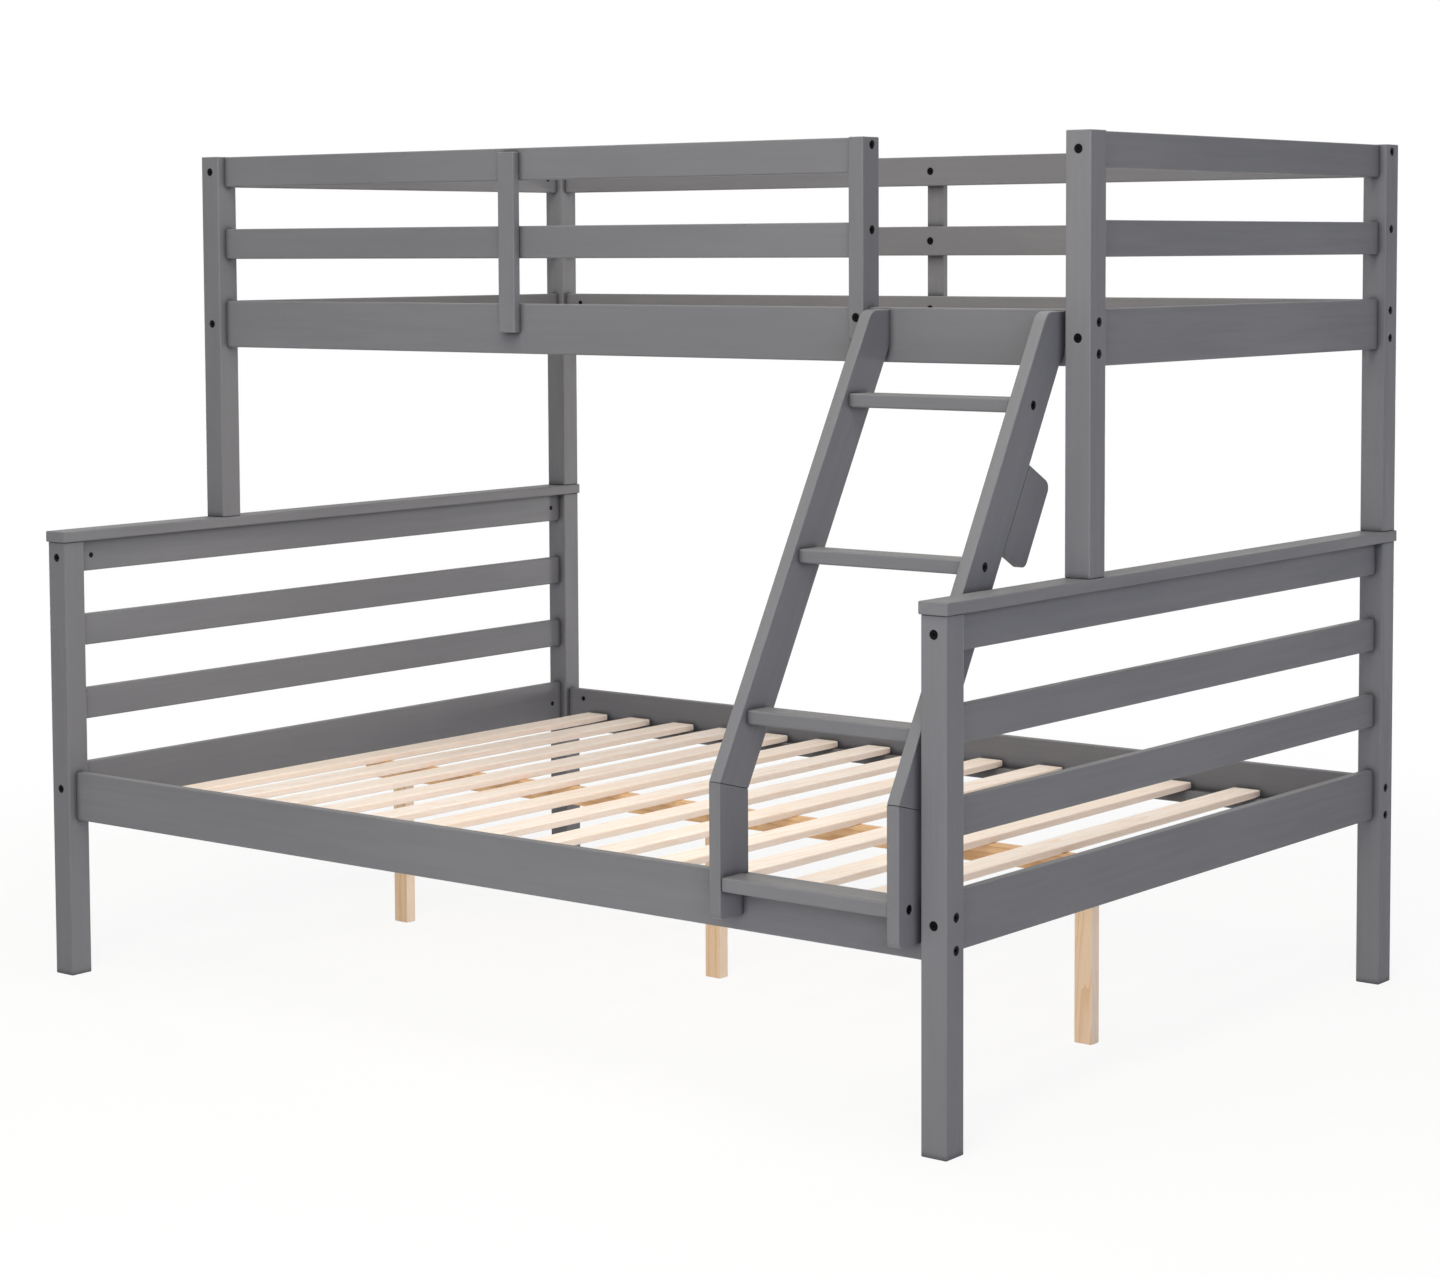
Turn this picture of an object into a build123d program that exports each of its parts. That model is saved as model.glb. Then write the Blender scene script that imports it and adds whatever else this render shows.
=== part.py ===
from build123d import *
import math
import os

# Twin-over-full bunk bed with a leaning ladder, in millimetres.
# +X runs along the bed to the ladder end, +Y to the back, +Z up.
# The origin is on the floor, under the middle leg, at the centre of the lower bed.

# Overall sizes
BED_LENGTH = 2022.0
LOWER_DEPTH = 1455.0
UPPER_DEPTH = 1058.0
LOWER_POST_HEIGHT = 815.0
UPPER_POST_LENGTH = 702.0

# Timber sections
POST = 46.5
RAIL_THICK = 18.0
SLIM_RAIL = 58.0
WIDE_RAIL = 90.0
RAIL_GAP = 81.5
EDGE_ROUND = 2.5
END_EASE = 1.2
CAP_THICK = 20.0
CAP_OVERHANG = 3.0
UPPER_RAIL_DROP = 0.5
SIDE_RAIL_DROP = 13.7
TENON_THICK = 10.0
TENON_SHOULDER = 10.0
TENON_LENGTH = 12.0

# Guard uprights lie outside the side rails, flush with the posts
UPRIGHT_THICK = 17.0
UPRIGHT_WIDTH = 38.5
UPRIGHT_LAP = 52.0
UPRIGHT_DROP = 7.0
FRONT_UPRIGHT_SHIFT = -4.5
BACK_UPRIGHT_SHIFT = 6.0
GUARD_LADDER_GAP = 20.6
GUARD_POST_WIDTH = 30.0
GUARD_BOLT_DROP = 17.0

# Slatted base
LEDGER = 25.0
LEDGER_RISE = 4.2
LEDGER_END_GAP = 56.5
SLAT_COUNT = 14
SLAT_WIDTH = 57.0
SLAT_THICK = 13.0
SLAT_END_GAP = 8.0
SLAT_GAP_GROWTH = 2.5
SLAT_SHIFT = 5.0
BEAM_END_GAP = 64.5
BEAM_WIDTH = 24.0
BEAM_HEIGHT = 34.0
LEG_WIDTH = 35.0
LEG_EDGE_ROUND = 1.5
LEG_INSET = 95.0

# Ladder
LADDER_POST_GAP = 10.5
LADDER_CLEAR_WIDTH = 314.0
LADDER_SEAT = 13.5
LADDER_HOOK_GAP = 2.0
LADDER_BEND_RISE = 131.7
LADDER_FOOT_RISE = 26.0
LADDER_TOUCH_RISE = 29.5
LADDER_TOP_DROP = 3.0
STRINGER_THICK = 22.0
STRINGER_WIDTH = 72.5
STRINGER_TOP_ROUND = 26.0
STRINGER_FOOT_ROUND = 9.0
STRINGER_EDGE_ROUND = 2.0
RUNG_THICK = 22.5
RUNG_DEPTH = 50.0
RUNG_ROUND = 3.0
TOP_RUNG_DROP = 144.8
LOWER_RUNG_RISE = 112.7
FOOT_RUNG_SETBACK = 3.0
FOOT_RUNG_DROP = 8.5
MITRE_GROOVE_WIDTH = 1.2
MITRE_GROOVE_DEPTH = 1.5
GRAB_DROP = 206.4
GRAB_LENGTH = 149.0
GRAB_DEPTH = 67.0
GRAB_THICK = 14.0
GRAB_ROUND = 14.0

# Fasteners
BOLT_DIAMETER = 6.0
BOLT_HEAD = 15.0
BOLT_HEAD_THICK = 4.0
BOLT_RECESS = 1.5
BOLT_PAST_NUT = 8.0
BOLT_SPREAD = 50.0
GUARD_BOLT_RAISE = 16.5
SOCKET_WIDTH = 6.0
SOCKET_DEPTH = 2.5
NUT_DIAMETER = 10.0
NUT_COVER = 4.0
NUT_SINK = 0.5
SIDE_NUT_SETBACK = 41.5
END_NUT_SETBACK = 28.5
RUNG_BOLT_GRIP = 42.0
UPRIGHT_BOLT_BITE = 12.0
SCREW_DIAMETER = 4.0
SCREW_HEAD = 8.0
SCREW_HEAD_THICK = 2.5
SCREW_BITE = 12.0
CAP_SCREW_INSET = 100.0
CAP_SCREW_BITE = 30.0
LEG_SCREW_BITE = 40.0
LEDGER_SCREWS = 5
LEDGER_SCREW_INSET = 60.0
PIN_DIAMETER = 8.0
PIN_BELOW_CAP = 18.0
PIN_ABOVE_CAP = 40.0
FIT = 0.2
RUNNING_GAP = 0.3
DRILL_OVERRUN = 1.0

# Levels and faces that several pieces share
HALF = BED_LENGTH / 2
FRONT = -LOWER_DEPTH / 2
BACK = LOWER_DEPTH / 2
UPPER_FRONT = BACK - UPPER_DEPTH
DECK = LOWER_POST_HEIGHT + CAP_THICK
UPPER_TOP = DECK + UPPER_POST_LENGTH
SLIM_STEP = SLIM_RAIL + RAIL_GAP
LOWER_SIDE_Z = LOWER_POST_HEIGHT - 3 * SLIM_STEP - WIDE_RAIL - SIDE_RAIL_DROP
LOWER_SIDE_TOP = LOWER_SIDE_Z + WIDE_RAIL
UPPER_SIDE_TOP = UPPER_TOP - UPPER_RAIL_DROP - 2 * SLIM_STEP
UPPER_SIDE_Z = UPPER_SIDE_TOP - WIDE_RAIL
INNER_HALF = HALF - POST
END_X = HALF - POST / 2
BEAM_HALF = INNER_HALF - BEAM_END_GAP
LEG_SPACING = BEAM_HALF - LEG_INSET
SIDE_FACE = UPRIGHT_THICK
SIDE_AXIS = SIDE_FACE + RAIL_THICK / 2
SIDE_INNER = SIDE_FACE + RAIL_THICK
LADDER_RIGHT = INNER_HALF - LADDER_POST_GAP
LADDER_LEFT = LADDER_RIGHT - LADDER_CLEAR_WIDTH - 2 * STRINGER_THICK
GUARD_RIGHT = LADDER_LEFT - GUARD_LADDER_GAP
GUARD_LEFT = GUARD_RIGHT - GUARD_POST_WIDTH
NUT_LENGTH = RAIL_THICK - NUT_COVER
ENDS = {"left": -1, "right": 1}

pieces = {}
hardware = {
    "lower_bolts": [],
    "lower_barrel_nuts": [],
    "lower_screws": [],
    "stacking_pins": [],
    "upper_bolts": [],
    "upper_barrel_nuts": [],
    "upper_screws": [],
    "ladder_bolts": [],
}


def block(x, y, z):
    """A plain box between two corners."""
    size = [hi - lo for lo, hi in (x, y, z)]
    middle = [(hi + lo) / 2 for lo, hi in (x, y, z)]
    return Pos(*middle) * Box(*size)


def board(x, y, z, grain, edge=EDGE_ROUND):
    """A box with its four long edges rounded and its ends eased."""
    plain = block(x, y, z)
    timber = fillet(plain.edges().filter_by(grain), edge)
    return chamfer(timber.faces().filter_by(grain).edges(), END_EASE)


def rod(plane, radius, start, end):
    """A cylinder along the plane's normal, from start to end."""
    return plane.location * Pos(0, 0, start) * Cylinder(
        radius, end - start, align=(Align.CENTER, Align.CENTER, Align.MIN)
    )


def stack(top, heights):
    """Bottom and top of each rail in a stack that hangs from the given top."""
    levels = []
    for height in heights:
        levels.append((top - height, top))
        top -= height + RAIL_GAP
    return levels


def centre(span):
    return (span[0] + span[1]) / 2


def cut(names, tool):
    for name in names:
        pieces[name] = pieces[name] - tool


def bolt(group, head, direction, names, length):
    """A socket-head bolt sunk below the face at head, and its holes in the named pieces."""
    plane = Plane(origin=head, z_dir=direction)
    seat = BOLT_RECESS + BOLT_HEAD_THICK
    socket = extrude(RegularPolygon(SOCKET_WIDTH / 2, 6, major_radius=False), SOCKET_DEPTH)
    cap = rod(plane, BOLT_HEAD / 2, BOLT_RECESS, seat)
    cap -= plane.location * Pos(0, 0, BOLT_RECESS) * socket
    hardware[group].append(cap + rod(plane, BOLT_DIAMETER / 2, seat, length))
    sink = rod(plane, BOLT_HEAD / 2 + FIT, -DRILL_OVERRUN, seat)
    bore = rod(plane, BOLT_DIAMETER / 2 + RUNNING_GAP, 0, length + DRILL_OVERRUN)
    cut(names, sink + bore)


def nutted_bolt(level, head, direction, post, rail, grip, inward):
    """A bolt through a post into a rail's end, with a cross nut sunk in the rail's inner face."""
    length = grip + BOLT_PAST_NUT
    bolt(level + "_bolts", head, direction, (post, rail), length)
    along = Vector(head) + Vector(direction) * grip
    face = Plane(origin=along + Vector(inward) * (RAIL_THICK / 2), z_dir=Vector(inward) * -1)
    drill = Plane(origin=head, z_dir=direction)
    nut = rod(face, NUT_DIAMETER / 2, NUT_SINK, NUT_SINK + NUT_LENGTH)
    nut -= rod(drill, BOLT_DIAMETER / 2 + FIT, 0, length + NUT_DIAMETER)
    hardware[level + "_barrel_nuts"].append(nut)
    cut((rail,), rod(face, NUT_DIAMETER / 2 + FIT, -DRILL_OVERRUN, NUT_SINK + NUT_LENGTH + FIT))


def screw(group, head, direction, names, length):
    """A countersunk wood screw, flush with the face at head, and its hole in the named pieces."""
    plane = Plane(origin=head, z_dir=direction)
    upright = (Align.CENTER, Align.CENTER, Align.MIN)
    cone = Cone(SCREW_HEAD / 2, SCREW_DIAMETER / 2, SCREW_HEAD_THICK, align=upright)
    body = plane.location * cone + rod(plane, SCREW_DIAMETER / 2, SCREW_HEAD_THICK, length)
    hardware[group].append(body)
    wide = Cone(
        SCREW_HEAD / 2 + FIT, SCREW_DIAMETER / 2 + FIT, SCREW_HEAD_THICK, align=upright
    )
    bore = rod(plane, SCREW_DIAMETER / 2 + FIT, 0, length + FIT)
    cut(names, plane.location * wide + bore)


def make_posts():
    for end, side in ENDS.items():
        x = sorted((side * HALF, side * INNER_HALF))
        fronts = {"lower": FRONT, "upper": UPPER_FRONT}
        spans = {"lower": (0, LOWER_POST_HEIGHT), "upper": (DECK, UPPER_TOP)}
        for level, front in fronts.items():
            rows = {"front": (front, front + POST), "back": (BACK - POST, BACK)}
            for row, y in rows.items():
                name = f"{level}_post_{row}_{end}"
                pieces[name] = board(x, y, spans[level], Axis.Z)


def make_end_panel(level, end, front, top, names, heights):
    """Rails between a front and a back post: the first and last are bolted, the rest tenoned."""
    side = ENDS[end]
    x = (side * END_X - RAIL_THICK / 2, side * END_X + RAIL_THICK / 2)
    y = (front + POST, BACK - POST)
    posts = {row: f"{level}_post_{row}_{end}" for row in ("front", "back")}
    inward = (-side, 0, 0)
    for name, z in zip(names, stack(top, heights)):
        rail = board(x, y, z, Axis.Y)
        if name in (names[0], names[-1]):
            pieces[name] = rail
            grip = POST + END_NUT_SETBACK
            head = (side * END_X, front, centre(z))
            nutted_bolt(level, head, (0, 1, 0), posts["front"], name, grip, inward)
            head = (side * END_X, BACK, centre(z))
            nutted_bolt(level, head, (0, -1, 0), posts["back"], name, grip, inward)
            continue
        half = TENON_THICK / 2
        tall = (z[0] + TENON_SHOULDER, z[1] - TENON_SHOULDER)
        reach = (y[0] - TENON_LENGTH, y[1] + TENON_LENGTH)
        tenon = block((side * END_X - half, side * END_X + half), reach, tall)
        mortise = block(
            (side * END_X - half - FIT, side * END_X + half + FIT),
            (reach[0] - FIT, reach[1] + FIT),
            (tall[0] - FIT, tall[1] + FIT),
        )
        pieces[name] = rail + tenon
        cut(posts.values(), mortise)


def make_side_rail(level, name, row, face, z, stations):
    """A rail along the bed; face is the outer post face, stations the bolts above its middle."""
    inside = 1 if row == "front" else -1
    y = sorted((face + inside * SIDE_FACE, face + inside * SIDE_INNER))
    pieces[name] = board((-INNER_HALF, INNER_HALF), y, z, Axis.X)
    grip = POST + SIDE_NUT_SETBACK
    for end, side in ENDS.items():
        post = f"{level}_post_{row}_{end}"
        for station in stations:
            head = (side * HALF, face + inside * SIDE_AXIS, centre(z) + station)
            nutted_bolt(level, head, (-side, 0, 0), post, name, grip, (0, inside, 0))


def make_slatted_base(level, front, rail_bottom):
    """Two ledgers screwed inside the side rails, and the slats laid across them."""
    half_ledger = INNER_HALF - LEDGER_END_GAP
    rows = {"front": (front + SIDE_INNER, 1), "back": (BACK - SIDE_INNER, -1)}
    bottom = rail_bottom + LEDGER_RISE
    seat = bottom + LEDGER
    ledgers = f"{level}_ledgers"
    pieces[ledgers] = Part()
    reach = half_ledger - LEDGER_SCREW_INSET
    for row, (face, inside) in rows.items():
        y = sorted((face, face + inside * LEDGER))
        ledger = board((-half_ledger, half_ledger), y, (bottom, seat), Axis.X)
        pieces[ledgers] = pieces[ledgers] + ledger
        for i in range(LEDGER_SCREWS):
            x = -reach + 2 * reach * i / (LEDGER_SCREWS - 1)
            head = (x, face + inside * LEDGER, bottom + LEDGER / 2)
            rail = f"{level}_{row}_rail"
            screw(f"{level}_screws", head, (0, -inside, 0), (ledgers, rail), LEDGER + SCREW_BITE)
    y = (front + SIDE_INNER + SLAT_END_GAP, BACK - SIDE_INNER - SLAT_END_GAP)
    gaps = SLAT_COUNT - 1
    mean_gap = (2 * half_ledger - SLAT_COUNT * SLAT_WIDTH) / gaps
    slats = []
    x = SLAT_SHIFT - half_ledger
    for i in range(SLAT_COUNT):
        slats.append(board((x, x + SLAT_WIDTH), y, (seat, seat + SLAT_THICK), Axis.Y))
        x += SLAT_WIDTH + mean_gap + SLAT_GAP_GROWTH * (i - (gaps - 1) / 2)
    pieces[f"{level}_slats"] = slats
    return seat


def make_lower_bed():
    heights = (SLIM_RAIL, SLIM_RAIL, SLIM_RAIL, WIDE_RAIL)
    for end in ENDS:
        names = [f"{end}_end_{n}_rail" for n in ("top", "upper", "lower", "bottom")]
        make_end_panel("lower", end, FRONT, LOWER_POST_HEIGHT, names, heights)
    z = (LOWER_SIDE_Z, LOWER_SIDE_TOP)
    spread = (BOLT_SPREAD / 2, -BOLT_SPREAD / 2)
    make_side_rail("lower", "lower_front_rail", "front", FRONT, z, spread)
    make_side_rail("lower", "lower_back_rail", "back", BACK, z, spread)
    seat = make_slatted_base("lower", FRONT, LOWER_SIDE_Z)
    make_centre_support(seat)


def make_centre_support(seat):
    """A beam under the middle of the slats, on three legs screwed up to it."""
    y = (-BEAM_WIDTH / 2, BEAM_WIDTH / 2)
    z = (seat - BEAM_HEIGHT, seat)
    pieces["centre_beam"] = board((-BEAM_HALF, BEAM_HALF), y, z, Axis.X)
    for name, step in (("left", -1), ("middle", 0), ("right", 1)):
        x = step * LEG_SPACING
        leg = f"centre_leg_{name}"
        width = (x - LEG_WIDTH / 2, x + LEG_WIDTH / 2)
        pieces[leg] = board(width, y, (0, z[0]), Axis.Z, LEG_EDGE_ROUND)
        length = BEAM_HEIGHT + LEG_SCREW_BITE
        screw("lower_screws", (x, 0, seat), (0, 0, -1), ("centre_beam", leg), length)


def make_caps():
    """A plank over each lower end panel, with the pins that the upper bunk stands on."""
    y = (FRONT - CAP_OVERHANG, BACK + CAP_OVERHANG)
    for end, side in ENDS.items():
        x = sorted((side * (HALF + CAP_OVERHANG), side * (INNER_HALF - CAP_OVERHANG)))
        name = f"{end}_end_cap"
        rail = f"{end}_end_top_rail"
        pieces[name] = board(x, y, (LOWER_POST_HEIGHT, DECK), Axis.Y)
        for place in (FRONT + CAP_SCREW_INSET, 0, BACK - CAP_SCREW_INSET):
            head = (side * END_X, place, DECK)
            screw("lower_screws", head, (0, 0, -1), (name, rail), CAP_THICK + CAP_SCREW_BITE)
        make_pin(side, UPPER_FRONT + POST / 2, (name, rail), f"upper_post_front_{end}")
        make_pin(side, BACK - POST / 2, (name, f"lower_post_back_{end}"), f"upper_post_back_{end}")


def make_pin(side, y, below, above):
    """A stacking pin, tight in the lower bed and loose in the upper post that drops over it."""
    plane = Plane(origin=(side * END_X, y, LOWER_POST_HEIGHT), z_dir=(0, 0, 1))
    top = CAP_THICK + PIN_ABOVE_CAP
    hardware["stacking_pins"].append(rod(plane, PIN_DIAMETER / 2, -PIN_BELOW_CAP, top))
    cut(below, rod(plane, PIN_DIAMETER / 2 + FIT, -PIN_BELOW_CAP, top))
    loose = PIN_DIAMETER / 2 + RUNNING_GAP
    cut((above,), rod(plane, loose, CAP_THICK - DRILL_OVERRUN, top + DRILL_OVERRUN))


def make_upper_bunk():
    heights = (SLIM_RAIL, SLIM_RAIL, WIDE_RAIL)
    top = UPPER_TOP - UPPER_RAIL_DROP
    for end in ENDS:
        names = [f"upper_{end}_end_{n}_rail" for n in ("top", "middle", "bottom")]
        make_end_panel("upper", end, UPPER_FRONT, top, names, heights)
    levels = stack(top, heights)
    spread = (BOLT_SPREAD / 2, -BOLT_SPREAD / 2)
    make_side_rail("upper", "upper_front_rail", "front", UPPER_FRONT, levels[2], spread)
    make_side_rail("upper", "upper_back_rail", "back", BACK, levels[2], spread)
    raised = (GUARD_BOLT_RAISE,)
    make_side_rail("upper", "back_guard_top_rail", "back", BACK, levels[0], raised)
    make_side_rail("upper", "back_guard_middle_rail", "back", BACK, levels[1], raised)
    make_front_guard(levels)
    make_slatted_base("upper", UPPER_FRONT, levels[2][0])
    make_uprights(levels)


def make_front_guard(levels):
    """Guard rails that stop short at a notched post, which laps the front rail."""
    y = (UPPER_FRONT + SIDE_FACE, UPPER_FRONT + SIDE_INNER)
    seat = levels[2][1]
    post = board(
        (GUARD_LEFT, GUARD_RIGHT),
        (UPPER_FRONT, UPPER_FRONT + POST),
        (seat - UPRIGHT_LAP, UPPER_TOP),
        Axis.Z,
    )
    notch = block(
        (GUARD_LEFT, GUARD_RIGHT),
        (UPPER_FRONT + SIDE_FACE, UPPER_FRONT + POST),
        (seat - UPRIGHT_LAP, seat),
    )
    pieces["guard_end_post"] = post - notch
    head = (centre((GUARD_LEFT, GUARD_RIGHT)), UPPER_FRONT, seat - GUARD_BOLT_DROP)
    grip = SIDE_FACE + UPRIGHT_BOLT_BITE
    bolt("upper_bolts", head, (0, 1, 0), ("guard_end_post", "upper_front_rail"), grip)
    for name, z in (("top", levels[0]), ("middle", levels[1])):
        rail = f"front_guard_{name}_rail"
        pieces[rail] = board((-INNER_HALF, GUARD_LEFT), y, z, Axis.X)
        level = centre(z) + GUARD_BOLT_RAISE
        inward = (0, 1, 0)
        head = (-HALF, UPPER_FRONT + SIDE_AXIS, level)
        grip = POST + SIDE_NUT_SETBACK
        nutted_bolt("upper", head, (1, 0, 0), "upper_post_front_left", rail, grip, inward)
        head = (GUARD_RIGHT, UPPER_FRONT + SIDE_AXIS, level)
        grip = GUARD_POST_WIDTH + SIDE_NUT_SETBACK
        nutted_bolt("upper", head, (-1, 0, 0), "guard_end_post", rail, grip, inward)


def make_uprights(levels):
    """One upright outside the front guard rails and one outside the back ones, bolted from inside."""
    z = (levels[2][1] - UPRIGHT_LAP, levels[0][1] - UPRIGHT_DROP)
    drops = (centre(levels[0]), centre(levels[1]), levels[2][1] - UPRIGHT_LAP / 2)
    rows = {
        "front": (UPPER_FRONT, 1, centre((-INNER_HALF, GUARD_LEFT)) + FRONT_UPRIGHT_SHIFT),
        "back": (BACK, -1, BACK_UPRIGHT_SHIFT),
    }
    for row, (face, inside, x) in rows.items():
        name = f"{row}_guard_upright"
        y = sorted((face, face + inside * UPRIGHT_THICK))
        pieces[name] = board((x - UPRIGHT_WIDTH / 2, x + UPRIGHT_WIDTH / 2), y, z, Axis.Z)
        rails = (f"{row}_guard_top_rail", f"{row}_guard_middle_rail", f"upper_{row}_rail")
        for rail, drop in zip(rails, drops):
            head = (x, face + inside * SIDE_INNER, drop)
            length = RAIL_THICK + UPRIGHT_BOLT_BITE
            bolt("upper_bolts", head, (0, -inside, 0), (rail, name), length)


def profile(points, x):
    """A closed outline in Y and Z, drawn as a plate between two X positions."""
    outline = make_face(Polyline(*[(0, y, z) for y, z in points], close=True))
    return Pos(x[0], 0, 0) * extrude(outline, x[1] - x[0], dir=(1, 0, 0))


def round_corner(plate, point, radius):
    """Rounds the edge along X that passes through a point of the outline."""
    edges = plate.edges().filter_by(Axis.X)
    near = edges.sort_by(lambda e: math.hypot(e.center().Y - point[0], e.center().Z - point[1]))
    return fillet(near[0], radius)


def ease(plate, shortest):
    """Rounds the long edges of a plate cut from an outline in Y and Z."""
    edges = plate.edges().filter_by(Axis.X, reverse=True)
    return fillet(edges.filter_by(lambda e: e.length > shortest), STRINGER_EDGE_ROUND)


def mitre_groove(low, high, x):
    """A shallow groove round a mitre that runs from low to high in Y and Z."""
    length = math.hypot(high[0] - low[0], high[1] - low[1])
    along = ((high[0] - low[0]) / length, (high[1] - low[1]) / length)
    half = MITRE_GROOVE_WIDTH / 2

    def slab(inset, thick):
        corners = []
        for s, n in ((inset, -thick), (length - inset, -thick), (length - inset, thick), (inset, thick)):
            corners.append((low[0] + s * along[0] - n * along[1], low[1] + s * along[1] + n * along[0]))
        return profile(corners, (x[0] + inset, x[1] - inset))

    return slab(-DRILL_OVERRUN, half) - slab(MITRE_GROOVE_DEPTH, 2 * half)


def make_ladder():
    """Two stringers, each a raking piece on a short upright foot that hooks over the lower rail."""
    upper_face = UPPER_FRONT + SIDE_FACE - RUNNING_GAP
    lower_face = FRONT + SIDE_FACE - LADDER_HOOK_GAP
    foot_z = LOWER_SIDE_Z + LADDER_FOOT_RISE
    top = UPPER_SIDE_TOP - LADDER_TOP_DROP
    back = FRONT + SIDE_FACE + LADDER_SEAT
    front = back - STRINGER_WIDTH
    bend_back = (back, LOWER_SIDE_TOP + LADDER_BEND_RISE)
    head_back = (upper_face, UPPER_SIDE_Z + LADDER_TOUCH_RISE)
    lean = math.atan2(head_back[0] - bend_back[0], head_back[1] - bend_back[1])
    bend_front = (front, bend_back[1] + STRINGER_WIDTH * math.tan(lean / 2))
    head_front = (front + (top - bend_front[1]) * math.tan(lean), top)
    raking = [bend_front, head_front, (upper_face, top), head_back, bend_back]
    foot = [
        (front, foot_z),
        bend_front,
        bend_back,
        (back, LOWER_SIDE_TOP),
        (lower_face, LOWER_SIDE_TOP),
        (lower_face, foot_z),
    ]
    spans = {
        "left": (LADDER_LEFT, LADDER_LEFT + STRINGER_THICK),
        "right": (LADDER_RIGHT - STRINGER_THICK, LADDER_RIGHT),
    }
    for end, x in spans.items():
        stringer = round_corner(profile(raking, x), head_front, STRINGER_TOP_ROUND)
        pieces[f"ladder_{end}_stringer"] = ease(stringer, 1.5 * STRINGER_WIDTH)
        leg = round_corner(profile(foot, x), foot[0], STRINGER_FOOT_ROUND)
        pieces[f"ladder_{end}_foot"] = ease(leg, 1.5 * STRINGER_WIDTH)
        cut((f"ladder_{end}_stringer", f"ladder_{end}_foot"), mitre_groove(bend_back, bend_front, x))
    middle = (centre((front, back)), centre((bend_front[1], bend_back[1])))
    make_rungs(spans, front, middle, lean, bend_back[1] + LOWER_RUNG_RISE, top - TOP_RUNG_DROP)
    make_grab_plate(bend_back, head_back, lean)


def make_rungs(spans, front, bend, lean, lower, upper):
    """Three rungs on the raking stringers and a low one level with the lower rail."""
    places = {}
    levels = {"lower": lower, "upper": centre((lower, upper)), "top": upper}
    for name, z in levels.items():
        places[name] = (bend[0] + (z - bend[1]) * math.tan(lean), z, "stringer")
    step = front + FOOT_RUNG_SETBACK + RUNG_DEPTH / 2
    places["bottom"] = (step, LOWER_SIDE_TOP - FOOT_RUNG_DROP, "foot")
    x = (spans["left"][1], spans["right"][0])
    length = STRINGER_THICK + RUNG_BOLT_GRIP
    for name, (y, z, part) in places.items():
        rung = f"ladder_{name}_rung"
        depth = (y - RUNG_DEPTH / 2, y + RUNG_DEPTH / 2)
        height = (z - RUNG_THICK / 2, z + RUNG_THICK / 2)
        pieces[rung] = board(x, depth, height, Axis.X, RUNG_ROUND)
        for end, face in (("left", LADDER_LEFT), ("right", LADDER_RIGHT)):
            names = (f"ladder_{end}_{part}", rung)
            bolt("ladder_bolts", (face, y, z), (-ENDS[end], 0, 0), names, length)


def make_grab_plate(bend, head, lean):
    """A rounded plate on the back edge of the right stringer, flush with its outer face."""
    up = (math.sin(lean), math.cos(lean))
    out = (math.cos(lean), -math.sin(lean))
    end = math.hypot(head[0] - bend[0], head[1] - bend[1]) - GRAB_DROP
    start = end - GRAB_LENGTH
    corners = [(start, 0), (end, 0), (end, GRAB_DEPTH), (start, GRAB_DEPTH)]
    points = []
    for s, n in corners:
        points.append((bend[0] + s * up[0] + n * out[0], bend[1] + s * up[1] + n * out[1]))
    plate = profile(points, (LADDER_RIGHT - GRAB_THICK, LADDER_RIGHT))
    plate = round_corner(plate, points[2], GRAB_ROUND)
    pieces["ladder_grab_plate"] = round_corner(plate, points[3], GRAB_ROUND)


def write(name, shape):
    solids = []
    for item in shape if isinstance(shape, list) else [shape]:
        solids.extend(item.solids())
    body = solids[0] if len(solids) == 1 else Compound(solids)
    export_step(body, f"parts/{name}.step")


make_posts()
make_lower_bed()
make_upper_bunk()
make_caps()
make_ladder()

os.makedirs("parts", exist_ok=True)
for name, shape in {**pieces, **hardware}.items():
    write(name, shape)
print(len(pieces) + len(hardware), "nodes")
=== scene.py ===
import math

import bpy
from mathutils import Matrix, Vector

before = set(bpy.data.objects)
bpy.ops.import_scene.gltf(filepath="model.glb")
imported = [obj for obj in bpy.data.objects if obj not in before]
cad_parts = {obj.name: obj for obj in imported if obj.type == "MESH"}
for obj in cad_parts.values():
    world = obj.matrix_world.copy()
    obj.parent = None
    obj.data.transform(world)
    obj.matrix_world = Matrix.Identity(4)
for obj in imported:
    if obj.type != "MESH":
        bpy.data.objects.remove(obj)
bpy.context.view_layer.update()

# Camera, fitted to the straight edges of the photograph, in pixels, sensor millimetres, metres and degrees
IMAGE_WIDTH = 1440
FOCAL_PX = 3133.83
SENSOR = 36.0
CAMERA_AT = (3.5860, -4.5187, 1.3547)
CAMERA_YAW = 38.3329
CAMERA_PITCH = 3.9709
CAMERA_ROLL = -0.2625
CAMERA_SHIFT_Y = -0.12
CAMERA_SEES = 200.0

# Rake of the ladder's stringers from the vertical, in the YZ plane
LADDER_LEAN = math.radians(29.4)

# Turn that lays a piece's grain along X, by the way it runs
GRAIN_TURNS = {
    "x": (0.0, 0.0, 0.0),
    "y": (0.0, 0.0, -math.pi / 2),
    "z": (0.0, math.pi / 2, 0.0),
    "rake": (LADDER_LEAN, math.pi / 2, 0.0),
}

# Furthest slide through the wood, so that no two pieces show the same grain
GRAIN_SLIDE = (7.3, 3.1, 5.7)

# Rays of the edge and joint masks
MASK_SAMPLES = 6

# Grey paint: its two tones, the tone along the grain, the tone that differs by piece, and worn edges
PAINT_TONES = ("707072", "767678")
PAINT_STREAK = "69696b"
PAINT_BY_PIECE = "686a6d"
PAINT_BY_PIECE_SHARE = 0.14
PAINT_WORN = "949390"
PAINT_WORN_SHARE = 0.30
PAINT_SPECULAR = 0.20

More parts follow.
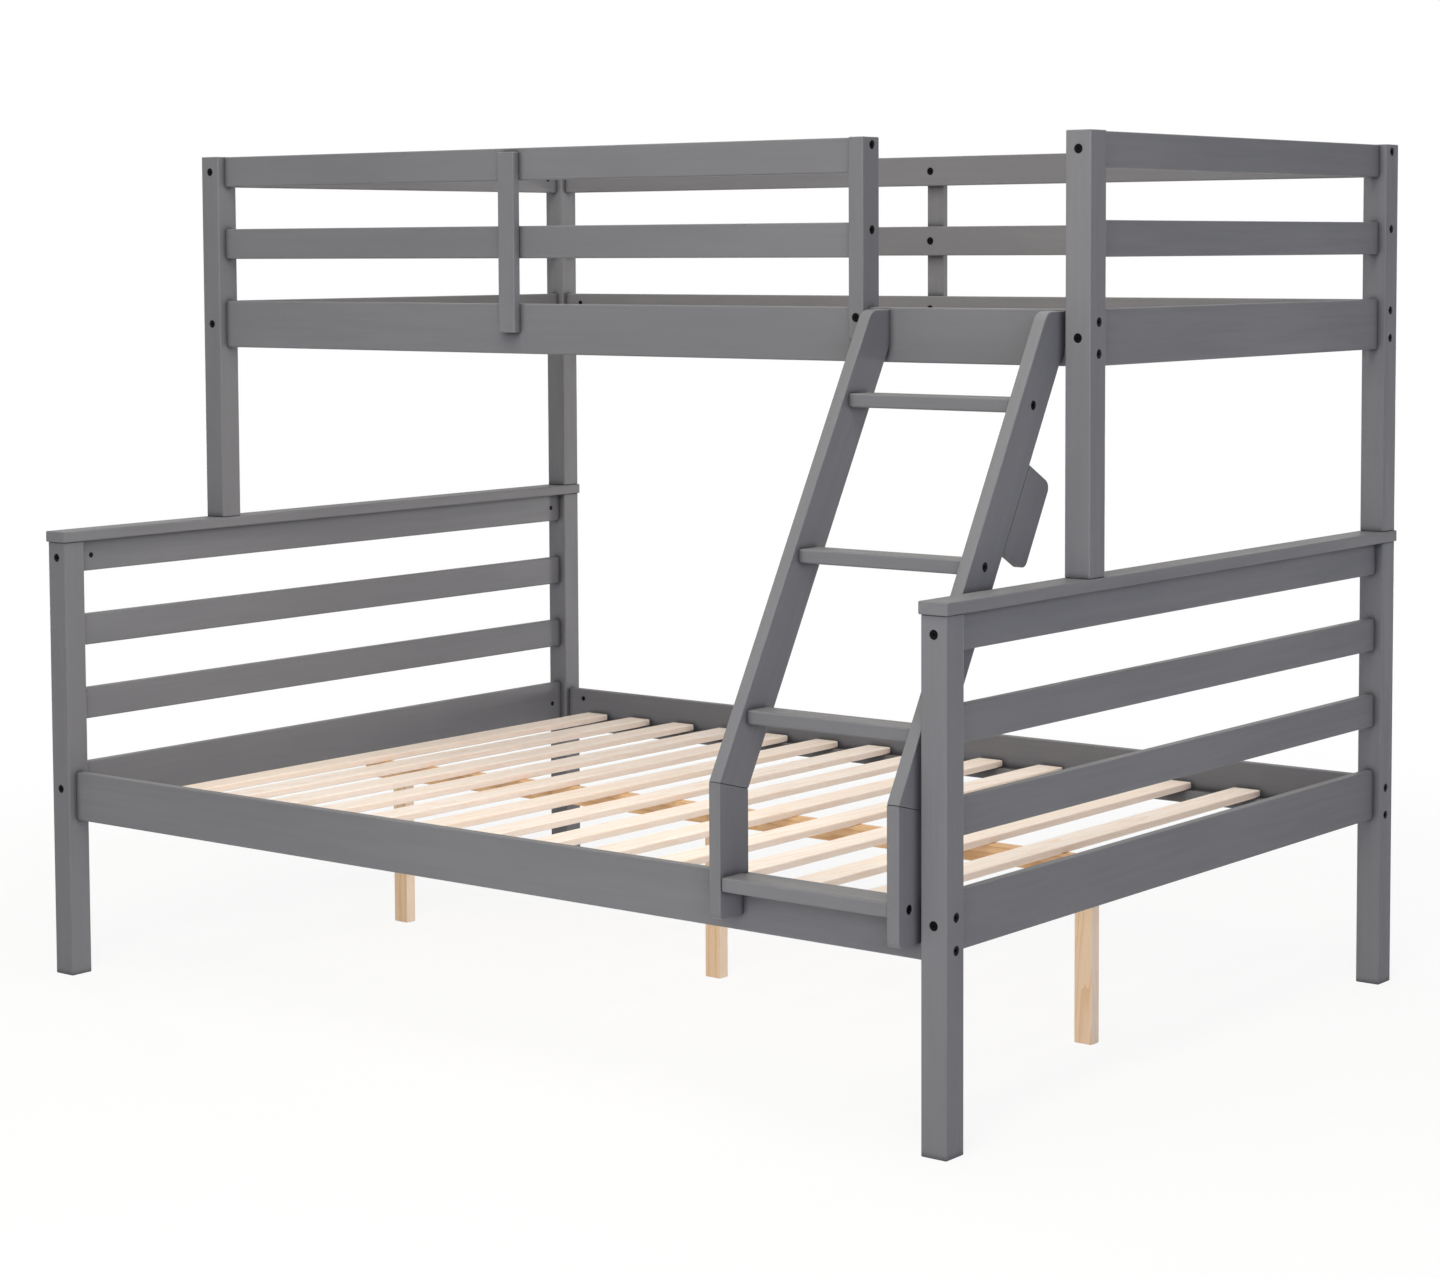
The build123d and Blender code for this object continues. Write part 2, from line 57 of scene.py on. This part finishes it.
# Painted shade where pieces meet, darkening the paint in the corners between them: how far it reaches, how
# strong it gets and its colour
JOINT_PAINTED_SHADE = {"reach": 0.014, "depth": 0.70, "shade": "2c2c2e"}
# The ledgers take a deeper, farther-reaching painted shade that darkens them nearly to black under the
# slats
LEDGER_PAINTED_SHADE = {"reach": 0.08, "depth": 0.96, "shade": "181614"}

# Bare pine: spring and summer wood, the warm drift between boards, and a painted light on the faces that
# look along the bed
SLAT_PINE = {"axis": "y", "early": "fdf4ec", "late": "f4dcc6", "warm": "f9e6d2", "flank": "f8e2cc"}
LEG_PINE = {"axis": "z", "early": "edd2b0", "late": "dab182", "warm": "e8c49b", "flank": "f8e8d6"}
BEAM_PINE = {"axis": "x", "early": "dcb68a", "late": "c4935f", "warm": "d2a473", "flank": "dcb68a"}
PINE_FLECK = "b98a5a"
PINE_EDGE = "cfae84"
PINE_EDGE_SHARE = 0.18
RING_SWAY = 0.055

# Steel: plain, worn and rubbed colours, roughness, metal share and specular level
BLACK_STEEL = {"base": "050506", "worn": "0a0a0b", "rubbed": "1e1e1f",
               "rough": 0.45, "metallic": 0.0, "shine": 0.10}
ZINC_STEEL = {"base": "77777a", "worn": "5f5f63", "rubbed": "8a8a8c",
              "rough": 0.42, "metallic": 1.0, "shine": 0.5}
STEEL_ROUGH_SPREAD = 0.07
STEEL_RUBBED_SHARE = 0.5

# Studio: half the floor's side, its two tones, where it turns white, and the light from all around
FLOOR_REACH = 40.0
FLOOR_TONES = ((0.86, 0.86, 0.86, 1.0), (0.89, 0.89, 0.885, 1.0))
FLOOR_FADE = (1.6, 3.4)
FLOOR_WHITE_NEAR = 0.86
WHITE = (1.0, 1.0, 1.0, 1.0)
SKY_COLOUR = (0.97, 0.98, 1.0, 1.0)
SKY_LEVEL = 0.19

# Places that lamps stand at or aim at
MIDDLE_OF_BED = (0.0, 0.0, 0.8)
LADDER_SIDE = (0.6, -0.5, 0.8)
OVER_SLATS = (0.40, 0.28, 0.70)
UNDER_SLATS = (0.40, 0.28, 0.0)


def linear(hex_colour):
    """A linear colour with alpha from an sRGB hex string."""
    out = []
    for i in (0, 2, 4):
        c = int(hex_colour[i:i + 2], 16) / 255
        out.append(c / 12.92 if c <= 0.04045 else ((c + 0.055) / 1.055) ** 2.4)
    return (*out, 1.0)


class Graph:
    """A node tree with a few short ways to add and link its nodes."""

    def __init__(self, owner):
        self.owner = owner
        owner.use_nodes = True
        self.tree = owner.node_tree
        self.tree.nodes.clear()

    def add(self, kind, settings=(), **values):
        """A new node. A value goes to the socket of its name, or of its number after the letters in."""
        node = self.tree.nodes.new(kind)
        for key, value in dict(settings).items():
            setattr(node, key, value)
        for key, value in values.items():
            socket = node.inputs[int(key[2:]) if key.startswith("in") else key.replace("_", " ")]
            if isinstance(value, bpy.types.NodeSocket):
                self.tree.links.new(value, socket)
            else:
                socket.default_value = value
        return node

    def math(self, operation, a, b=0.0):
        return self.add("ShaderNodeMath", {"operation": operation}, in0=a, in1=b).outputs[0]

    def mix(self, fac, a, b):
        return self.add("ShaderNodeMix", {"data_type": "RGBA"}, in0=fac, in6=a, in7=b).outputs[2]

    def ramp(self, value, low, high, to_low=0.0, to_high=1.0):
        node = self.add("ShaderNodeMapRange", {"interpolation_type": "SMOOTHSTEP"},
                        in0=value, in1=low, in2=high, in3=to_low, in4=to_high)
        return node.outputs[0]

    def noise(self, vector, scale=1.0, detail=3.0, rough=0.55):
        node = self.add("ShaderNodeTexNoise", {"noise_dimensions": "3D"},
                        Vector=vector, Scale=scale, Detail=detail, Roughness=rough)
        return node.outputs["Fac"]

    def grain_space(self, axis):
        """Coordinates with the grain along X, in a slice of wood for each piece, and the piece's number."""
        where = self.add("ShaderNodeTexCoord").outputs["Object"]
        turned = self.add("ShaderNodeVectorRotate", {"rotation_type": "EULER_XYZ"},
                          Vector=where, Rotation=GRAIN_TURNS[axis]).outputs[0]
        chance = self.add("ShaderNodeObjectInfo").outputs["Random"]
        x, y, z = [self.math("MULTIPLY", chance, far) for far in GRAIN_SLIDE]
        slide = self.add("ShaderNodeCombineXYZ", X=x, Y=y, Z=z).outputs[0]
        wood = self.add("ShaderNodeVectorMath", {"operation": "ADD"}, in0=turned, in1=slide).outputs[0]
        return wood, chance

    def stretch(self, vector, along, across):
        return self.add("ShaderNodeVectorMath", {"operation": "MULTIPLY"},
                        in0=vector, in1=(along, across, across)).outputs[0]

    def rounded(self, radius):
        """The normal that the surface has with its edges rounded."""
        return self.add("ShaderNodeBevel", {"samples": MASK_SAMPLES}, Radius=radius).outputs[0]

    def flat_normal(self):
        return self.add("ShaderNodeNewGeometry").outputs["True Normal"]

    def edge_mask(self, radius):
        """1 on the sharp and rounded edges of a piece, 0 on its flats."""
        meet = self.add("ShaderNodeVectorMath", {"operation": "DOT_PRODUCT"},
                        in0=self.rounded(radius), in1=self.flat_normal()).outputs["Value"]
        return self.ramp(meet, low=0.99, high=0.80)

    def painted_shade_mask(self, reach, depth):
        """Painted shade: rises from 0 in the open to depth in the corners between pieces."""
        near = self.add("ShaderNodeAmbientOcclusion", {"samples": MASK_SAMPLES}, Distance=reach)
        return self.ramp(near.outputs["AO"], low=0.94, high=0.48, to_high=depth)

    def bump(self, height, strength, distance, normal):
        return self.add("ShaderNodeBump", Strength=strength, Distance=distance, Height=height,
                        Normal=normal).outputs[0]

    def seen_directly(self):
        """1 for rays that show the background itself: from the camera, and through gloss and glass."""
        path = self.add("ShaderNodeLightPath").outputs
        seen = self.math("MAXIMUM", path["Is Camera Ray"], path["Is Glossy Ray"])
        return self.math("MAXIMUM", seen, path["Is Transmission Ray"])

    def output(self, kind, shader):
        out = self.add(kind)
        self.tree.links.new(shader.outputs[0], out.inputs["Surface"])
        return self.owner

    def finish(self, **surface):
        """The material, with one shader for its whole surface."""
        return self.output("ShaderNodeOutputMaterial", self.add("ShaderNodeBsdfPrincipled", **surface))


def painted_wood(name, axis, reach, depth, shade):
    """Satin grey paint on planed pine: raised grain, roller texture, thin edges and painted shade at the
    joints.
    """
    g = Graph(bpy.data.materials.new(name))
    wood, chance = g.grain_space(axis)
    broad = g.noise(g.stretch(wood, along=1.4, across=5.0), detail=2.0)
    streak = g.noise(g.stretch(wood, along=5.0, across=95.0), detail=4.0, rough=0.6)
    fibre = g.noise(g.stretch(wood, along=40.0, across=900.0), detail=2.0)
    roller = g.noise(wood, scale=650.0, detail=2.0)
    patches = g.ramp(g.noise(wood, scale=24.0, detail=4.0, rough=0.65), low=0.42, high=0.66)
    worn = g.math("MULTIPLY", g.edge_mask(radius=0.0022), patches)
    paint = g.mix(g.ramp(broad, low=0.3, high=0.7), linear(PAINT_TONES[0]), linear(PAINT_TONES[1]))
    paint = g.mix(g.ramp(streak, low=0.38, high=0.68, to_high=0.22), paint, linear(PAINT_STREAK))
    paint = g.mix(g.math("MULTIPLY", chance, PAINT_BY_PIECE_SHARE), paint, linear(PAINT_BY_PIECE))
    paint = g.mix(g.math("MULTIPLY", worn, PAINT_WORN_SHARE), paint, linear(PAINT_WORN))
    # Painted shade: the paint darkens towards the shade colour in the corners between pieces
    paint = g.mix(g.painted_shade_mask(reach, depth), paint, linear(shade))
    rough = g.ramp(streak, low=0.3, high=0.7, to_low=0.46, to_high=0.56)
    rough = g.math("ADD", rough, g.ramp(roller, low=0.35, high=0.65, to_low=-0.03, to_high=0.03))
    raised = g.bump(streak, strength=0.14, distance=0.0008, normal=g.rounded(radius=0.0012))
    raised = g.bump(fibre, strength=0.08, distance=0.0004, normal=raised)
    raised = g.bump(roller, strength=0.08, distance=0.0003, normal=raised)
    return g.finish(Base_Color=paint, Roughness=rough, Normal=raised, Specular_IOR_Level=PAINT_SPECULAR)


def growth_rings(g, wood):
    """Bands along the grain that sway as the rings of a sawn board do."""
    sway = g.noise(g.stretch(wood, along=1.3, across=16.0))
    bent = g.add("ShaderNodeVectorMath", {"operation": "MULTIPLY_ADD"}, in0=sway,
                 in1=(0.0, RING_SWAY, RING_SWAY), in2=g.stretch(wood, along=0.06, across=1.0)).outputs[0]
    bands = {"wave_type": "BANDS", "bands_direction": "DIAGONAL", "wave_profile": "SAW"}
    return g.add("ShaderNodeTexWave", bands, Vector=bent, Scale=42.0, Distortion=2.2, Detail=2.0,
                 Detail_Scale=1.5).outputs["Fac"]


def bare_pine(name, axis, early, late, warm, flank):
    """Sanded pine: growth rings along its length, fine fibres and a drift of colour from board to board."""
    g = Graph(bpy.data.materials.new(name))
    wood, _ = g.grain_space(axis)
    rings = growth_rings(g, wood)
    drift = g.noise(g.stretch(wood, along=0.35, across=9.0), detail=1.0)
    fibre = g.noise(g.stretch(wood, along=16.0, across=620.0), rough=0.6)
    flecks = g.noise(g.stretch(wood, along=60.0, across=1500.0), detail=1.0)
    colour = g.mix(g.ramp(rings, low=0.45, high=1.0, to_high=0.75), linear(early), linear(late))
    colour = g.mix(g.ramp(fibre, low=0.4, high=0.72, to_high=0.28), colour, linear(late))
    colour = g.mix(g.ramp(flecks, low=0.66, high=0.78, to_high=0.25), colour, linear(PINE_FLECK))
    colour = g.mix(g.ramp(drift, low=0.35, high=0.7, to_high=0.45), colour, linear(warm))
    # Painted light: the faces that look along the bed are tinted as if lit from the side
    painted_side_share = g.add("ShaderNodeSeparateXYZ", Vector=g.flat_normal()).outputs["X"]
    painted_side_share = g.ramp(g.math("ABSOLUTE", painted_side_share), low=0.5, high=0.9, to_high=0.6)
    colour = g.mix(painted_side_share, colour, linear(flank))
    edge = g.math("MULTIPLY", g.edge_mask(radius=0.0018), PINE_EDGE_SHARE)
    colour = g.mix(edge, colour, linear(PINE_EDGE))
    rough = g.ramp(fibre, low=0.3, high=0.7, to_low=0.52, to_high=0.66)
    raised = g.bump(rings, strength=0.12, distance=0.0006, normal=g.rounded(radius=0.0010))
    raised = g.bump(fibre, strength=0.25, distance=0.0005, normal=raised)
    return g.finish(Base_Color=colour, Roughness=rough, Normal=raised)


def metal(name, base, worn, rubbed, rough, metallic, shine):
    """Plated or blackened steel with handling marks and rubbed edges."""
    g = Graph(bpy.data.materials.new(name))
    where = g.add("ShaderNodeTexCoord").outputs["Object"]
    cloud = g.noise(where, scale=130.0)
    grit = g.noise(where, scale=1900.0, detail=2.0)
    edge = g.math("MULTIPLY", g.edge_mask(radius=0.0006), g.ramp(cloud, low=0.4, high=0.7))
    colour = g.mix(g.ramp(cloud, low=0.3, high=0.7), linear(base), linear(worn))
    colour = g.mix(g.math("MULTIPLY", edge, STEEL_RUBBED_SHARE), colour, linear(rubbed))
    smooth, coarse = rough - STEEL_ROUGH_SPREAD, rough + STEEL_ROUGH_SPREAD
    gloss = g.ramp(cloud, low=0.3, high=0.7, to_low=smooth, to_high=coarse)
    raised = g.bump(grit, strength=0.15, distance=0.0002, normal=g.rounded(radius=0.0005))
    return g.finish(Base_Color=colour, Roughness=gloss, Normal=raised, Metallic=metallic,
                    Specular_IOR_Level=shine)


def grain_of(node):
    """The way the grain runs in a painted piece."""
    if node.startswith("ladder_"):
        if node.endswith("rung"):
            return "x"
        return "z" if node.endswith("foot") else "rake"
    if "post" in node or "upright" in node:
        return "z"
    return "y" if "_end_" in node else "x"


def dress():
    """Gives every CAD node the material of its own kind."""
    paints = {axis: painted_wood(f"grey_paint_{axis}", axis, **JOINT_PAINTED_SHADE) for axis in GRAIN_TURNS}
    leg = bare_pine("pine_z_leg", **LEG_PINE)
    black = metal("black_steel", **BLACK_STEEL)
    zinc = metal("zinc_steel", **ZINC_STEEL)
    by_ending = {
        # The ledgers' paint carries a deep painted shade
        "ledgers": painted_wood("grey_paint_ledger", "x", **LEDGER_PAINTED_SHADE),
        "slats": bare_pine("pine_y_slat", **SLAT_PINE),
        "centre_beam": bare_pine("pine_x_beam", **BEAM_PINE),
        "bolts": black,
        "nuts": black,
        "screws": zinc,
        "pins": zinc,
    }
    for name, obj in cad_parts.items():
        material = leg if name.startswith("centre_leg") else paints[grain_of(name)]
        for ending, special in by_ending.items():
            if name.endswith(ending):
                material = special
        if not obj.material_slots:
            obj.data.materials.append(material)
        for slot in obj.material_slots:
            slot.material = material


def add_floor():
    """A pale floor that melts into the white background and keeps the soft shadow."""
    mesh = bpy.data.meshes.new("floor")
    corners = [(-FLOOR_REACH, -FLOOR_REACH, 0), (FLOOR_REACH, -FLOOR_REACH, 0),
               (FLOOR_REACH, FLOOR_REACH, 0), (-FLOOR_REACH, FLOOR_REACH, 0)]
    mesh.from_pydata(corners, [], [(0, 1, 2, 3)])
    floor = bpy.data.objects.new("floor", mesh)
    bpy.context.scene.collection.objects.link(floor)
    g = Graph(bpy.data.materials.new("floor"))
    where = g.add("ShaderNodeTexCoord").outputs["Object"]
    tone = g.mix(g.noise(where, scale=3.0, detail=2.0), *FLOOR_TONES)
    matte = g.add("ShaderNodeBsdfPrincipled", Base_Color=tone, Roughness=0.9)
    white = g.add("ShaderNodeEmission", Color=WHITE, Strength=1.0)
    away = g.add("ShaderNodeVectorMath", {"operation": "LENGTH"}, in0=where).outputs["Value"]
    share = g.ramp(away, *FLOOR_FADE, to_low=FLOOR_WHITE_NEAR)
    share = g.math("MULTIPLY", g.seen_directly(), share)
    blend = g.add("ShaderNodeMixShader", in0=share, in1=matte.outputs[0], in2=white.outputs[0])
    mesh.materials.append(g.output("ShaderNodeOutputMaterial", blend))


def add_world():
    """Soft light from all around, behind a background that shows white."""
    world = bpy.data.worlds.new("studio")
    bpy.context.scene.world = world
    g = Graph(world)
    light = g.add("ShaderNodeBackground", Color=SKY_COLOUR, Strength=SKY_LEVEL)
    white = g.add("ShaderNodeBackground", Color=WHITE, Strength=1.0)
    blend = g.add("ShaderNodeMixShader", in0=g.seen_directly(), in1=light.outputs[0], in2=white.outputs[0])
    g.output("ShaderNodeOutputWorld", blend)


def add_lamp(name, at, size, watts, colour, aim=MIDDLE_OF_BED):
    """A round soft lamp, with its place, aim and width in metres."""
    lamp = bpy.data.lights.new(name, "AREA")
    lamp.shape = "DISK"
    lamp.size = size
    lamp.energy = watts
    lamp.color = colour
    obj = bpy.data.objects.new(name, lamp)
    obj.location = at
    obj.rotation_euler = (Vector(aim) - Vector(at)).to_track_quat("-Z", "Y").to_euler()
    obj.visible_camera = False
    bpy.context.scene.collection.objects.link(obj)


def add_lamps():
    """A warm key, a cool side light, fills all around and a small lamp over the lower bed."""
    add_lamp("key", at=(1.4, -2.7, 4.3), size=3.0, watts=108.0, colour=(1.0, 0.98, 0.84))
    add_lamp("over", at=(0.0, -0.6, 4.8), size=3.5, watts=84.0, colour=(1.0, 0.96, 0.93))
    add_lamp("front", at=(1.7, -3.8, 1.7), size=2.0, watts=29.0, colour=(1.0, 0.99, 0.97), aim=LADDER_SIDE)
    add_lamp("side", at=(8.0, -8.0, 3.0), size=5.0, watts=365.0, colour=(0.66, 0.70, 1.0))
    add_lamp("back", at=(0.0, 2.6, 4.4), size=3.0, watts=25.0, colour=(1.0, 0.97, 0.95))
    add_lamp("rear", at=(0.95, 5.2, 0.5), size=0.9, watts=95.0, colour=(1.0, 0.99, 0.96))
    add_lamp("left", at=(-5.0, 1.2, 0.5), size=0.9, watts=85.0, colour=(1.0, 0.99, 0.96))
    add_lamp("bed", at=OVER_SLATS, size=1.3, watts=0.90, colour=(1.0, 0.96, 0.90), aim=UNDER_SLATS)


def add_camera():
    """The camera at the photograph's viewing angle."""
    camera = bpy.data.cameras.new("camera")
    camera.sensor_fit = "HORIZONTAL"
    camera.sensor_width = SENSOR
    camera.lens = FOCAL_PX * SENSOR / IMAGE_WIDTH
    camera.shift_y = CAMERA_SHIFT_Y
    camera.clip_end = CAMERA_SEES
    obj = bpy.data.objects.new("camera", camera)
    turn = Matrix.Rotation(math.radians(CAMERA_YAW), 4, "Z")
    tilt = Matrix.Rotation(math.radians(90.0 - CAMERA_PITCH), 4, "X")
    roll = Matrix.Rotation(math.radians(CAMERA_ROLL), 4, "Z")
    obj.matrix_world = Matrix.Translation(CAMERA_AT) @ turn @ tilt @ roll
    bpy.context.scene.collection.objects.link(obj)
    bpy.context.scene.camera = obj


bpy.context.scene.view_settings.view_transform = "Standard"
dress()
add_floor()
add_world()
add_lamps()
add_camera()
